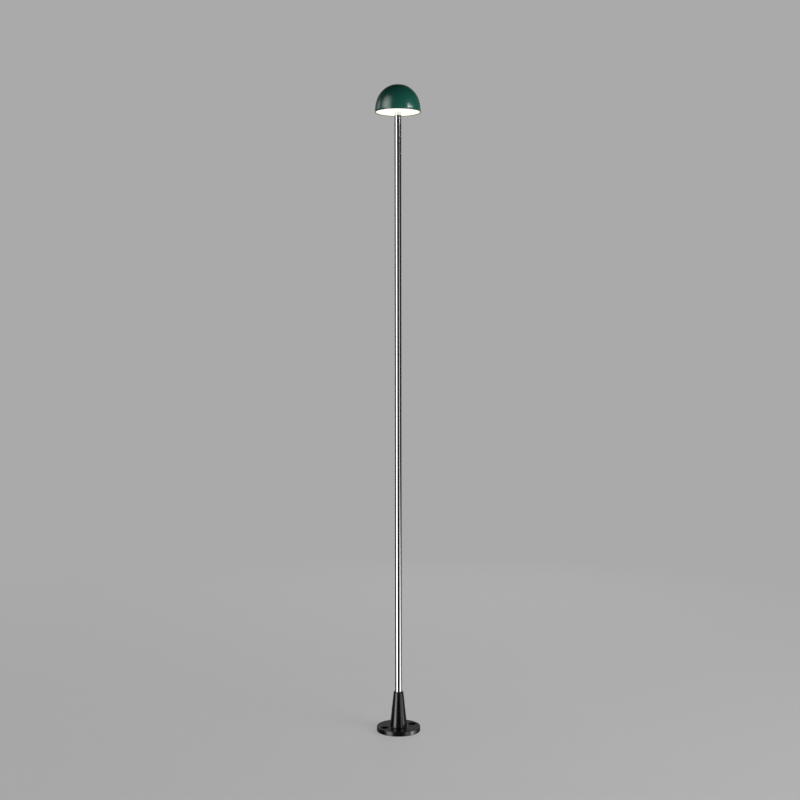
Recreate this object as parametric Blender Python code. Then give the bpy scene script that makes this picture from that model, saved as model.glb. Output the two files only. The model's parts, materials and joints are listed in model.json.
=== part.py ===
"""Pole light for paths and terraces: a small dome on a straight polished mast.

A cast base with a conical socket holds the mast. The mast carries a tray with the LEDs, their
driver and an opal diffuser, and a lacquered dome drops over the tray. Units are metres, +Z is up,
and the origin is the centre of the face that the base stands on.
"""

import math

import bmesh
import bpy
from mathutils import Matrix, Vector

MM = 0.001
GAP = 0.3 * MM  # between two pieces that touch
OVERCUT = 1.0 * MM  # how far a cutter runs past the faces that it opens

# ---------------------------------------------------------------- driving dimensions
OVERALL_HEIGHT = 1500.0 * MM

DOME_RADIUS = 53.25 * MM
DOME_HEIGHT = 63.2 * MM
DOME_SQUARENESS = 2.25  # exponent of the dome's outline: 2 is an ellipse
DOME_WALL = 1.6 * MM
RIM_Z = OVERALL_HEIGHT - DOME_HEIGHT

TUBE_RADIUS = 8.0 * MM
TUBE_WALL = 1.2 * MM
TUBE_BORE = TUBE_RADIUS - TUBE_WALL

FLANGE_RADIUS = 51.0 * MM
FLANGE_THICKNESS = 10.5 * MM
FLANGE_EDGE = 0.8 * MM
CONE_FOOT_RADIUS = 20.1 * MM
CONE_TOP_RADIUS = 11.3 * MM
CONE_FILLET = 1.3 * MM
BASE_HEIGHT = 91.5 * MM

ANCHOR_CIRCLE = 35.5 * MM  # radius of the circle through the two anchor holes
ANCHOR_ANGLES = (25.0, 205.0)
ANCHOR_HOLE = 4.5 * MM
ANCHOR_SEAT = 9.0 * MM
ANCHOR_SEAT_Z = 5.0 * MM

SOCKET_BORE = TUBE_RADIUS + GAP
SHOULDER_Z = 24.0 * MM  # where the mast's lower end rests
SEAL_POCKET_RADIUS = 10.1 * MM
SEAL_POCKET_DEPTH = 3.3 * MM
LEAD_PASSAGE = 5.0 * MM
RECESS_RADIUS = 15.0 * MM
RECESS_DEPTH = 12.0 * MM
INLET_THREAD = 8.0 * MM
INLET_THREAD_TOP = 21.0 * MM

SET_SCREW_Z = 45.0 * MM
SET_SCREW_ANGLES = {"left": 125.0, "right": 55.0}
SET_SCREW_RADIUS = 2.4 * MM
SET_SCREW_BORE = SET_SCREW_RADIUS + GAP
SET_SCREW_CUT = (6.0 * MM, 25.0 * MM)  # from inside the socket to outside the cone

LEAD_RADIUS = 2.6 * MM
CORE_RADIUS = 0.9 * MM

# Heights inside the head, counted up from the dome's rim
DIFFUSER_BOTTOM = 0.8 * MM
DIFFUSER_PLATE = 2.5 * MM
BOARD_BOTTOM = 10.2 * MM
BOARD_THICKNESS = 1.5 * MM
TRAY_BOTTOM = 12.0 * MM
TRAY_THICKNESS = 2.5 * MM
TRAY_TOP = TRAY_BOTTOM + TRAY_THICKNESS
TRAY_RADIUS = 47.3 * MM
DRIVER_BOTTOM = TRAY_TOP + 0.5 * MM
LEAD_TOP = 28.7 * MM

BOARD_INNER = 13.0 * MM
BOARD_OUTER = 37.5 * MM
LED_COUNT = 12
LED_CIRCLE = 29.0 * MM
LED_SIZE = 3.0 * MM
LED_HEIGHT = 0.8 * MM

SCREW_SHANK = 1.45 * MM  # M3
SCREW_HOLE = 1.8 * MM
SCREW_HEAD = 2.7 * MM
SCREW_HEAD_HEIGHT = 1.9 * MM
SCREW_DRIVE_DEPTH = 1.2 * MM
DOME_SCREW_CIRCLE = 42.5 * MM
DOME_SCREW_ANGLES = (60.0, 180.0, 300.0)
DOME_SCREW_TOP = 22.0 * MM
BOSS_RADIUS = 3.2 * MM
BOSS_TOP = 38.0 * MM
BOARD_SCREW_CIRCLE = 21.0 * MM
BOARD_SCREW_ANGLES = (0.0, 120.0, 240.0)

NIPPLE_RADIUS = 5.0 * MM
NIPPLE_BORE = 3.8 * MM
NIPPLE_HOLE = NIPPLE_RADIUS + GAP
NIPPLE_TOP = 26.0 * MM

DRIVER_X = (12.0 * MM, 30.0 * MM)
DRIVER_HALF_LENGTH = 20.0 * MM
DRIVER_HEIGHT = 14.0 * MM
DRIVER_WALL = 1.2 * MM
DRIVER_SCREW_X = 34.0 * MM
DRIVER_SCREW_Y = 14.0 * MM
TERMINAL_LENGTH = 7.7 * MM
TERMINAL_HEIGHT = 10.0 * MM
EARTH_X = -21.0 * MM
EARTH_SHANK = 2.0 * MM
EARTH_CRIMP = 2.6 * MM  # height of the tag's crimp barrel
LED_WIRE_HOLE_Y = 17.0 * MM
LED_WIRE_HOLE = 4.0 * MM

FINE = 40  # sides of the large turned pieces
MEDIUM = 24
COARSE = 12


# ---------------------------------------------------------------- materials
def finish(name, color, roughness, metallic=0.0):
    """A Principled material with one colour, roughness and metallic value."""
    material = bpy.data.materials.new(name)
    material.use_nodes = True
    shader = material.node_tree.nodes["Principled BSDF"]
    shader.inputs["Base Color"].default_value = (*color, 1.0)
    shader.inputs["Roughness"].default_value = roughness
    shader.inputs["Metallic"].default_value = metallic
    material.diffuse_color = (*color, 1.0)
    return material


FINISHES = {
    "black_powder_coat": ((0.012, 0.012, 0.013), 0.38, 0.0),
    "green_lacquer": ((0.006, 0.075, 0.05), 0.12, 0.0),
    "polished_steel": ((0.72, 0.72, 0.72), 0.08, 1.0),
    "opal_plastic": ((0.95, 0.9, 0.8), 0.3, 0.0),
    "black_rubber": ((0.02, 0.02, 0.02), 0.7, 0.0),
    "zinc_steel": ((0.55, 0.56, 0.58), 0.35, 1.0),
    "black_steel": ((0.03, 0.03, 0.032), 0.45, 1.0),
    "brass": ((0.75, 0.55, 0.25), 0.25, 1.0),
    "aluminium_tray": ((0.75, 0.76, 0.77), 0.35, 1.0),
    "white_board": ((0.85, 0.86, 0.84), 0.4, 0.0),
    "green_board": ((0.02, 0.16, 0.07), 0.4, 0.0),
    "led_phosphor": ((0.9, 0.7, 0.2), 0.3, 0.0),
    "white_plastic": ((0.8, 0.8, 0.79), 0.45, 0.0),
    "black_plastic": ((0.02, 0.02, 0.022), 0.45, 0.0),
    "grey_plastic": ((0.35, 0.36, 0.37), 0.5, 0.0),
    "yellow_tape": ((0.8, 0.6, 0.08), 0.4, 0.0),
    "lead_sheath": ((0.03, 0.03, 0.03), 0.55, 0.0),
    "brown_insulation": ((0.18, 0.07, 0.03), 0.45, 0.0),
    "blue_insulation": ((0.03, 0.12, 0.55), 0.45, 0.0),
    "earth_insulation": ((0.25, 0.55, 0.08), 0.45, 0.0),
    "red_insulation": ((0.6, 0.03, 0.03), 0.45, 0.0),
    "black_insulation": ((0.02, 0.02, 0.02), 0.45, 0.0),
}


# ---------------------------------------------------------------- shape tools
def clear_scene():
    for thing in list(bpy.data.objects):
        bpy.data.objects.remove(thing, do_unlink=True)


def from_bmesh(name, shape, parent=None, smooth=True):
    """Turn a bmesh into a named object, with its faces pointing out."""
    bmesh.ops.recalc_face_normals(shape, faces=shape.faces)
    if shape.calc_volume(signed=True) < 0.0:
        bmesh.ops.reverse_faces(shape, faces=shape.faces)
    mesh = bpy.data.meshes.new(name)
    shape.to_mesh(mesh)
    shape.free()
    if smooth:
        mesh.shade_smooth()
        mesh.set_sharp_from_angle(angle=math.radians(35.0))
    piece = bpy.data.objects.new(name, mesh)
    bpy.context.collection.objects.link(piece)
    piece.parent = parent
    return piece


def paint(piece, slot):
    piece.data.materials.append(bpy.data.materials[slot])
    return piece


def spun(profile, sides, hollow):
    """Spin a profile of (radius, height) points round Z.

    A hollow profile is a closed loop away from the axis. Any other one is a path whose two ends
    are closed on the axis, where they aren't on it already.
    """
    shape = bmesh.new()
    points = list(profile)
    if not hollow and points[0][0] > 0.0:
        points.insert(0, (0.0, points[0][1]))
    if not hollow and points[-1][0] > 0.0:
        points.append((0.0, points[-1][1]))
    verts = [shape.verts.new((radius, 0.0, height)) for radius, height in points]
    edges = [shape.edges.new(pair) for pair in zip(verts, verts[1:])]
    if hollow:
        edges.append(shape.edges.new((verts[-1], verts[0])))
    bmesh.ops.spin(
        shape,
        geom=verts + edges,
        cent=(0.0, 0.0, 0.0),
        axis=(0.0, 0.0, 1.0),
        angle=math.tau,
        steps=sides,
        use_merge=False,
        use_duplicate=False,
    )
    bmesh.ops.remove_doubles(shape, verts=shape.verts, dist=0.001 * MM)
    return shape


def turned(name, profile, slot, parent, sides=MEDIUM, hollow=True, at=(0.0, 0.0, 0.0)):
    """A turned piece on its own vertical axis at a given place."""
    piece = paint(from_bmesh(name, spun(profile, sides, hollow), parent), slot)
    piece.location = at
    return piece


def ring_profile(inner, outer, bottom, top):
    """The four corners of a plain ring or tube."""
    return [(outer, bottom), (outer, top), (inner, top), (inner, bottom)]


def polar(radius, degrees, height):
    angle = math.radians(degrees)
    return Vector((radius * math.cos(angle), radius * math.sin(angle), height))


def box_shape(low, high):
    """A bmesh box between two corners."""
    low = Vector(low)
    high = Vector(high)
    shape = bmesh.new()
    middle = Matrix.Translation((low + high) / 2.0)
    size = Matrix.Diagonal((*(high - low), 1.0))
    bmesh.ops.create_cube(shape, size=1.0, matrix=middle @ size)
    return shape


def block(name, low, high, slot, parent):
    return paint(from_bmesh(name, box_shape(low, high), parent, smooth=False), slot)


def cutter(name, shape, parent, rotation=None, at=(0.0, 0.0, 0.0)):
    """A guide body that only shapes another piece."""
    guide = from_bmesh(name, shape, parent, smooth=False)
    guide.location = at
    if rotation is not None:
        guide.rotation_euler = rotation
    guide.hide_render = True
    guide.display_type = "WIRE"
    return guide


def combine(piece, guide, operation):
    step = piece.modifiers.new(guide.name, "BOOLEAN")
    step.operation = operation
    step.solver = "EXACT"
    step.object = guide


def drill(piece, name, at, radius, bottom, top, sides=COARSE):
    """Drill a vertical round hole between two heights.

    The drill is turned a little, so that none of its corners falls on an edge of the piece.
    """
    shape = spun([(radius, bottom), (radius, top)], sides, hollow=False)
    turn = (0.0, 0.0, math.radians(4.0))
    combine(piece, cutter(name, shape, piece.parent, turn, (at[0], at[1], 0.0)), "DIFFERENCE")


def hexagon_ring(across_flats, height, sides):
    """Points round a hexagon, with as many points as the ring that it joins."""
    points = []
    for index in range(sides):
        degrees = 360.0 * index / sides
        from_flat = math.radians((degrees + 30.0) % 60.0 - 30.0)
        points.append(polar(across_flats / 2.0 / math.cos(from_flat), degrees, height))
    return points


def circle_ring(radius, height, sides):
    return [polar(radius, 360.0 * index / sides, height) for index in range(sides)]


def loft(rings, closed=False):
    """Skin equal rings of points in order, and close both ends unless the rings form a loop."""
    shape = bmesh.new()
    loops = [[shape.verts.new(point) for point in ring] for ring in rings]
    pairs = list(zip(loops, loops[1:]))
    if closed:
        pairs.append((loops[-1], loops[0]))
    for lower, upper in pairs:
        for i in range(len(lower)):
            shape.faces.new((lower[i - 1], lower[i], upper[i], upper[i - 1]))
    if not closed:
        shape.faces.new(loops[0])
        shape.faces.new(loops[-1])
    return shape


def screw_shape(shank, length, head, head_height, drive, drive_depth):
    """A cap screw along Z: its head's underside is at 0 and its shank points up."""
    sides = 12
    rings = [
        hexagon_ring(drive, drive_depth - head_height, sides),
        hexagon_ring(drive, -head_height, sides),
        circle_ring(head * 0.88, -head_height, sides),
        circle_ring(head, -head_height * 0.7, sides),
        circle_ring(head, 0.0, sides),
        circle_ring(shank, 0.0, sides),
        circle_ring(shank, length - 0.4 * MM, sides),
        circle_ring(shank * 0.75, length, sides),
    ]
    return loft(rings)


def screw(name, at, length, slot, parent, shank=SCREW_SHANK, head=SCREW_HEAD, flip=False):
    """A cap screw, pointing up, or down when it is flipped."""
    shape = screw_shape(shank, length, head, SCREW_HEAD_HEIGHT, head * 0.95, SCREW_DRIVE_DEPTH)
    piece = paint(from_bmesh(name, shape, parent), slot)
    piece.location = at
    if flip:
        piece.rotation_euler = (math.pi, 0.0, 0.0)
    return piece


def smooth_route(points, samples=3):
    """Read points from a smooth curve that passes through all of a route's own points."""
    route = [Vector(point) for point in points]
    padded = [route[0] * 2.0 - route[1]] + route + [route[-1] * 2.0 - route[-2]]
    curve = []
    for before, start, end, after in zip(padded, padded[1:], padded[2:], padded[3:]):
        for step in range(samples):
            t = step / samples
            curve.append(0.5 * (
                2.0 * start
                + (end - before) * t
                + (2.0 * before - 5.0 * start + 4.0 * end - after) * t**2
                + (3.0 * start - before - 3.0 * end + after) * t**3
            ))
    curve.append(route[-1])
    return curve


def wire(name, points, slot, parent, radius=CORE_RADIUS):
    """A wire along a smooth route, as a bevelled curve with closed ends."""
    route = smooth_route(points)
    curve = bpy.data.curves.new(name, "CURVE")
    curve.dimensions = "3D"
    curve.bevel_depth = radius
    curve.bevel_resolution = 2
    curve.use_fill_caps = True
    spline = curve.splines.new("POLY")
    spline.points.add(len(route) - 1)
    for target, point in zip(spline.points, route):
        target.co = (*point, 1.0)
    piece = bpy.data.objects.new(name, curve)
    bpy.context.collection.objects.link(piece)
    piece.parent = parent
    return paint(piece, slot)


def frame_empty(name, parent=None, at=(0.0, 0.0, 0.0)):
    empty = bpy.data.objects.new(name, None)
    bpy.context.collection.objects.link(empty)
    empty.parent = parent
    empty.location = at
    return empty


# ---------------------------------------------------------------- base
def arc_points(center, radius, start, end, count):
    """Points of an arc in the profile plane, from one angle to another in degrees."""
    points = []
    for index in range(count + 1):
        angle = math.radians(start + (end - start) * index / count)
        points.append((center[0] + radius * math.cos(angle), center[1] + radius * math.sin(angle)))
    return points


def base_casting(base):
    """Round flange, conical socket for the mast, and a recess below for the supply inlet."""
    top_edge = 0.5 * MM
    edge = FLANGE_EDGE
    fillet_center = (CONE_FOOT_RADIUS + CONE_FILLET, FLANGE_THICKNESS + CONE_FILLET)
    profile = [(RECESS_RADIUS, 0.0), (FLANGE_RADIUS - edge, 0.0), (FLANGE_RADIUS, edge)]
    profile += arc_points((FLANGE_RADIUS - edge, FLANGE_THICKNESS - edge), edge, 0.0, 90.0, 2)
    profile += arc_points(fillet_center, CONE_FILLET, 270.0, 180.0, 2)
    profile += [
        (CONE_TOP_RADIUS, BASE_HEIGHT - top_edge),
        (CONE_TOP_RADIUS - top_edge, BASE_HEIGHT),
        (SEAL_POCKET_RADIUS, BASE_HEIGHT),
        (SEAL_POCKET_RADIUS, BASE_HEIGHT - SEAL_POCKET_DEPTH),
        (SOCKET_BORE, BASE_HEIGHT - SEAL_POCKET_DEPTH),
        (SOCKET_BORE, SHOULDER_Z),
        (LEAD_PASSAGE, SHOULDER_Z),
        (LEAD_PASSAGE, INLET_THREAD_TOP),
        (INLET_THREAD, INLET_THREAD_TOP),
        (INLET_THREAD, RECESS_DEPTH),
        (RECESS_RADIUS, RECESS_DEPTH),
    ]
    casting = turned("base_casting", profile, "black_powder_coat", base, sides=FINE)
    for index, degrees in enumerate(ANCHOR_ANGLES, start=1):
        steps = [
            (ANCHOR_HOLE, -OVERCUT),
            (ANCHOR_HOLE, ANCHOR_SEAT_Z),
            (ANCHOR_SEAT, ANCHOR_SEAT_Z),
            (ANCHOR_SEAT, FLANGE_THICKNESS + OVERCUT),
        ]
        shape = spun(steps, MEDIUM, hollow=False)
        guide = cutter(f"anchor_cut_{index}", shape, base, at=polar(ANCHOR_CIRCLE, degrees, 0.0))
        combine(casting, guide, "DIFFERENCE")
    for side, degrees in SET_SCREW_ANGLES.items():
        shape = spun([(SET_SCREW_BORE, end) for end in SET_SCREW_CUT], COARSE, hollow=False)
        lean = (0.0, math.pi / 2.0, math.radians(degrees))
        guide = cutter(f"set_screw_cut_{side}", shape, base, lean, (0.0, 0.0, SET_SCREW_Z))
        combine(casting, guide, "DIFFERENCE")


def set_screws(base):
    """Two headless screws that clamp the mast in its socket."""
    sides = 12
    inner_end = SOCKET_BORE + 0.2 * MM
    outer_end = 14.0 * MM
    for side, degrees in SET_SCREW_ANGLES.items():
        rings = [
            circle_ring(SET_SCREW_RADIUS * 0.6, inner_end, sides),
            circle_ring(SET_SCREW_RADIUS, inner_end + 0.9 * MM, sides),
            circle_ring(SET_SCREW_RADIUS, outer_end - 0.3 * MM, sides),
            circle_ring(SET_SCREW_RADIUS - 0.3 * MM, outer_end, sides),
            hexagon_ring(2.5 * MM, outer_end, sides),
            hexagon_ring(2.5 * MM, outer_end - 2.6 * MM, sides),
        ]
        piece = paint(from_bmesh(f"set_screw_{side}", loft(rings), base), "black_steel")
        piece.rotation_euler = (0.0, math.pi / 2.0, math.radians(degrees))
        piece.location = (0.0, 0.0, SET_SCREW_Z)


def socket_seal(base):
    """Rubber ring round the mast in the mouth of the socket."""
    inner = SOCKET_BORE
    outer = SEAL_POCKET_RADIUS - GAP
    top = BASE_HEIGHT - 0.2 * MM
    profile = [
        (outer, BASE_HEIGHT - SEAL_POCKET_DEPTH + GAP),
        (outer, top - 0.3 * MM),
        (outer - 0.3 * MM, top),
        (inner + 0.3 * MM, top),
        (inner, top - 0.3 * MM),
        (inner, BASE_HEIGHT - SEAL_POCKET_DEPTH + GAP),
    ]
    turned("socket_seal", profile, "black_rubber", base)


def supply_inlet(base):
    """Three-pin inlet that screws into the recess from below, with its seal and pins."""
    flange_radius = 11.5 * MM
    flange_bottom = 7.5 * MM
    flange_top = 10.3 * MM
    barrel = INLET_THREAD - GAP
    mouth = 6.0 * MM
    floor_bottom = 14.5 * MM
    floor_top = 16.0 * MM
    cup = 5.2 * MM
    barrel_top = INLET_THREAD_TOP - 1.0 * MM
    profile = [
        (mouth, floor_bottom),
        (mouth, flange_bottom),
        (flange_radius - 0.5 * MM, flange_bottom),
        (flange_radius, flange_bottom + 0.5 * MM),
        (flange_radius, flange_top),
        (barrel, flange_top),
        (barrel, barrel_top),
        (cup, barrel_top),
        (cup, floor_top),
    ]
    inlet = turned("inlet_body", profile, "black_plastic", base, hollow=False)

    pin = 1.0 * MM
    pin_circle = 3.0 * MM
    pin_bottom = 9.0 * MM
    pin_top = 19.0 * MM
    for index, degrees in enumerate((90.0, 210.0, 330.0), start=1):
        place = polar(pin_circle, degrees, 0.0)
        drill(inlet, f"pin_cut_{index}", place, pin + GAP, floor_bottom - OVERCUT,
              floor_top + OVERCUT, sides=8)
        ends = [(pin * 0.6, pin_bottom), (pin, pin_bottom + 0.5 * MM), (pin, pin_top)]
        turned(f"inlet_pin_{index}", ends, "brass", base, sides=8, hollow=False, at=place)

    cord = 0.55 * MM  # half the thickness of the seal's section
    middle = (9.6 * MM, (flange_top + RECESS_DEPTH) / 2.0)
    section = arc_points(middle, cord, 0.0, 300.0, 5)
    turned("inlet_seal", section, "black_rubber", base, sides=MEDIUM)


# ---------------------------------------------------------------- mast
def mast(column):
    """The tube, what lines its ends, and the hollow nipple that holds the head."""
    lip = 1.4 * MM
    tube_bottom = SHOULDER_Z + GAP + lip + GAP
    tube_top = RIM_Z + TRAY_BOTTOM - GAP
    turned("column_tube", ring_profile(TUBE_BORE, TUBE_RADIUS, tube_bottom, tube_top),
           "polished_steel", column, sides=MEDIUM)

    lead_clearance = LEAD_RADIUS + GAP
    grommet_bottom = SHOULDER_Z + GAP
    grommet = [
        (TUBE_RADIUS - 0.1 * MM, grommet_bottom),
        (TUBE_RADIUS - 0.1 * MM, grommet_bottom + lip),
        (TUBE_BORE - GAP, grommet_bottom + lip),
        (TUBE_BORE - GAP, grommet_bottom + 9.0 * MM),
        (lead_clearance, grommet_bottom + 9.0 * MM),
        (lead_clearance, grommet_bottom),
    ]
    turned("lower_grommet", grommet, "black_rubber", column, sides=MEDIUM)

    insert_top = tube_top - 1.0 * MM
    insert_length = 20.0 * MM
    turned("top_insert",
           ring_profile(NIPPLE_HOLE, TUBE_BORE - GAP, insert_top - insert_length, insert_top),
           "zinc_steel", column, sides=MEDIUM)

    nipple_top = RIM_Z + NIPPLE_TOP
    nipple_bottom = insert_top - insert_length + 2.0 * MM
    turned("hollow_nipple",
           ring_profile(NIPPLE_BORE, NIPPLE_RADIUS, nipple_bottom, nipple_top),
           "brass", column, sides=MEDIUM)

    cap = [
        (5.2 * MM, nipple_top + GAP),
        (5.2 * MM, nipple_top + 1.2 * MM),
        (4.6 * MM, nipple_top + 1.8 * MM),
        (lead_clearance, nipple_top + 1.8 * MM),
        (lead_clearance, nipple_top - 5.0 * MM),
        (NIPPLE_BORE - GAP, nipple_top - 5.0 * MM),
        (NIPPLE_BORE - GAP, nipple_top + GAP),
    ]
    turned("nipple_grommet", cap, "white_plastic", column, sides=COARSE)


def head_clamp(column):
    """Washers and nut that pull the tray down onto the mast."""
    washer_bottom = RIM_Z + TRAY_TOP + GAP
    washer_top = washer_bottom + 1.5 * MM
    turned("flat_washer", ring_profile(NIPPLE_HOLE, 10.0 * MM, washer_bottom, washer_top),
           "zinc_steel", column, sides=MEDIUM)

    inner = NIPPLE_HOLE
    outer = 8.2 * MM
    low = washer_top + GAP
    high = low + 1.2 * MM
    rings = []
    turns = 15
    split = 12.0  # degrees of the slit in the ring
    for index in range(turns + 1):
        degrees = split / 2.0 + (360.0 - split) * index / turns
        rings.append([polar(inner, degrees, low), polar(outer, degrees, low),
                      polar(outer, degrees, high), polar(inner, degrees, high)])
    paint(from_bmesh("lock_washer", loft(rings), column), "zinc_steel")

    nut_low = high + GAP
    nut_high = nut_low + 4.2 * MM
    flats = 14.0 * MM
    sides = MEDIUM
    rings = [
        circle_ring(NIPPLE_HOLE, nut_low, sides),
        circle_ring(flats * 0.49, nut_low, sides),
        hexagon_ring(flats, nut_low + 0.5 * MM, sides),
        hexagon_ring(flats, nut_high - 0.5 * MM, sides),
        circle_ring(flats * 0.49, nut_high, sides),
        circle_ring(NIPPLE_HOLE, nut_high, sides),
    ]
    paint(from_bmesh("nipple_nut", loft(rings, closed=True), column), "zinc_steel")


# ---------------------------------------------------------------- tray and LEDs
def heat_sink_tray(column):
    """Aluminium disc that carries everything in the head."""
    low = RIM_Z + TRAY_BOTTOM
    high = RIM_Z + TRAY_TOP
    chamfer = 0.4 * MM
    profile = [
        (TRAY_RADIUS - chamfer, low),
        (TRAY_RADIUS, low + chamfer),
        (TRAY_RADIUS, high - chamfer),
        (TRAY_RADIUS - chamfer, high),
        (NIPPLE_HOLE, high),
        (NIPPLE_HOLE, low),
    ]
    tray = turned("heat_sink_tray", profile, "aluminium_tray", column, sides=FINE)
    holes = [(polar(DOME_SCREW_CIRCLE, a, 0.0), SCREW_HOLE) for a in DOME_SCREW_ANGLES]
    holes += [(polar(BOARD_SCREW_CIRCLE, a, 0.0), SCREW_HOLE) for a in BOARD_SCREW_ANGLES]
    holes += [((DRIVER_SCREW_X, y, 0.0), SCREW_HOLE) for y in (-DRIVER_SCREW_Y, DRIVER_SCREW_Y)]
    holes += [((EARTH_X, 0.0, 0.0), EARTH_SHANK + GAP)]
    holes += [((0.0, LED_WIRE_HOLE_Y, 0.0), LED_WIRE_HOLE)]
    for index, (place, radius) in enumerate(holes, start=1):
        drill(tray, f"tray_cut_{index}", place, radius, low - OVERCUT, high + OVERCUT)


def led_module(column):
    """Ring-shaped board with its LEDs on the underside and three screws."""
    low = RIM_Z + BOARD_BOTTOM
    high = low + BOARD_THICKNESS
    board = turned("led_board", ring_profile(BOARD_INNER, BOARD_OUTER, low, high),
                   "white_board", column, sides=MEDIUM)
    for index, degrees in enumerate(BOARD_SCREW_ANGLES, start=1):
        place = polar(BOARD_SCREW_CIRCLE, degrees, 0.0)
        drill(board, f"board_cut_{index}", place, SCREW_HOLE, low - OVERCUT, high + OVERCUT)
        screw(f"board_screw_{index}", place + Vector((0.0, 0.0, low - GAP)), 4.3 * MM,
              "zinc_steel", column)
    half = LED_SIZE / 2.0
    for index in range(LED_COUNT):
        degrees = 15.0 + 360.0 * index / LED_COUNT
        chip = block(f"led_chip_{index + 1:02d}", (-half, -half, -LED_HEIGHT), (half, half, 0.0),
                     "led_phosphor", column)
        chip.location = polar(LED_CIRCLE, degrees, low - GAP)
        chip.rotation_euler = (0.0, 0.0, math.radians(degrees))


def diffuser(column):
    """Opal dish that closes the head from below and snaps over the tray's edge."""
    plate_radius = 50.3 * MM
    wall = 49.1 * MM
    thin_wall = 47.7 * MM
    lip = 46.8 * MM
    ledge = 45.8 * MM
    hole = TUBE_RADIUS + 0.4 * MM
    collar_inner = 10.2 * MM
    collar_outer = 12.0 * MM
    bottom = RIM_Z + DIFFUSER_BOTTOM
    plate_top = bottom + DIFFUSER_PLATE
    ledge_top = RIM_Z + 10.3 * MM
    lip_bottom = RIM_Z + TRAY_TOP + 0.4 * MM
    lip_top = lip_bottom + 1.1 * MM
    collar_top = RIM_Z + 11.0 * MM
    profile = [
        (hole, bottom),
        (plate_radius - 0.6 * MM, bottom),
        (plate_radius, bottom + 0.6 * MM),
        (plate_radius, plate_top),
        (wall, plate_top),
        (wall, lip_top),
        (lip + 0.5 * MM, lip_top),
        (lip, lip_bottom + 0.3 * MM),
        (lip, lip_bottom),
        (thin_wall, lip_bottom),
        (thin_wall, ledge_top),
        (ledge, ledge_top),
        (ledge, plate_top),
        (collar_outer, plate_top),
        (collar_outer, collar_top),
        (collar_inner, collar_top),
        (collar_inner, plate_top),
        (hole, plate_top),
    ]
    turned("diffuser_cover", profile, "opal_plastic", column, sides=FINE)
    turned("diffuser_gasket",
           ring_profile(45.9 * MM, 47.4 * MM, ledge_top + GAP, RIM_Z + TRAY_BOTTOM - GAP),
           "black_rubber", column, sides=MEDIUM)
    turned("pole_seal",
           ring_profile(TUBE_RADIUS + GAP, collar_inner - GAP, plate_top + GAP,
                        RIM_Z + TRAY_BOTTOM - 0.7 * MM),
           "black_rubber", column, sides=MEDIUM)


# ---------------------------------------------------------------- driver
def driver(column):
    """LED driver: a screwed-down case with its lid, board, main components and terminals."""
    x_low, x_high = DRIVER_X
    y_end = DRIVER_HALF_LENGTH
    low = RIM_Z + DRIVER_BOTTOM
    high = low + DRIVER_HEIGHT
    wall = DRIVER_WALL

    case = block("driver_case", (x_low, -y_end, low), (x_high, y_end, high), "white_plastic",
                 column)
    hollow = box_shape((x_low + wall, -y_end + wall, low + wall),
                       (x_high - wall, y_end - wall, high + OVERCUT))
    combine(case, cutter("driver_hollow_cut", hollow, column), "DIFFERENCE")
    for index, side in enumerate((-1.0, 1.0), start=1):
        y = side * DRIVER_SCREW_Y
        ear = box_shape((x_high - 0.5 * MM, y - 4.0 * MM, low),
                        (x_high + 8.0 * MM, y + 4.0 * MM, low + 2.0 * MM))
        combine(case, cutter(f"driver_ear_{index}", ear, column), "UNION")
        drill(case, f"driver_ear_cut_{index}", (DRIVER_SCREW_X, y), SCREW_HOLE, low - OVERCUT,
              low + 3.0 * MM)
        screw(f"driver_screw_{index}",
              (DRIVER_SCREW_X, y, low + 2.0 * MM + GAP), 4.8 * MM, "zinc_steel", column,
              flip=True)

    block("driver_lid", (x_low, -y_end, high + GAP), (x_high, y_end, high + GAP + 1.5 * MM),
          "white_plastic", column)

    inset = wall + GAP
    board_low = low + wall + 1.5 * MM
    board_high = board_low + 1.6 * MM
    block("driver_board", (x_low + inset, -y_end + inset, board_low),
          (x_high - inset, y_end - inset, board_high), "green_board", column)
    middle = (x_low + x_high) / 2.0
    block("driver_transformer", (middle - 6.0 * MM, -14.0 * MM, board_high + GAP),
          (middle + 6.0 * MM, 0.0, board_high + 8.3 * MM), "yellow_tape", column)
    can = [(4.0 * MM, board_high + GAP), (4.0 * MM, board_high + 8.3 * MM)]
    turned("driver_capacitor", can, "black_plastic", column, sides=COARSE, hollow=False,
           at=(middle, 9.0 * MM, 0.0))

    for name, side in (("in", -1.0), ("out", 1.0)):
        near = side * (y_end + GAP)
        far = side * (y_end + GAP + TERMINAL_LENGTH)
        terminal = block(
            f"driver_terminal_{name}",
            (x_low + 2.0 * MM, min(near, far), low),
            (x_high - 2.0 * MM, max(near, far), low + TERMINAL_HEIGHT),
            "grey_plastic",
            column,
        )
        for number, shift in enumerate((-3.5 * MM, 3.5 * MM), start=1):
            place = (middle + shift, (near + far) / 2.0)
            drill(terminal, f"terminal_{name}_cut_{number}", place, 1.6 * MM,
                  low + TERMINAL_HEIGHT - 3.0 * MM, low + TERMINAL_HEIGHT + OVERCUT)


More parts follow.
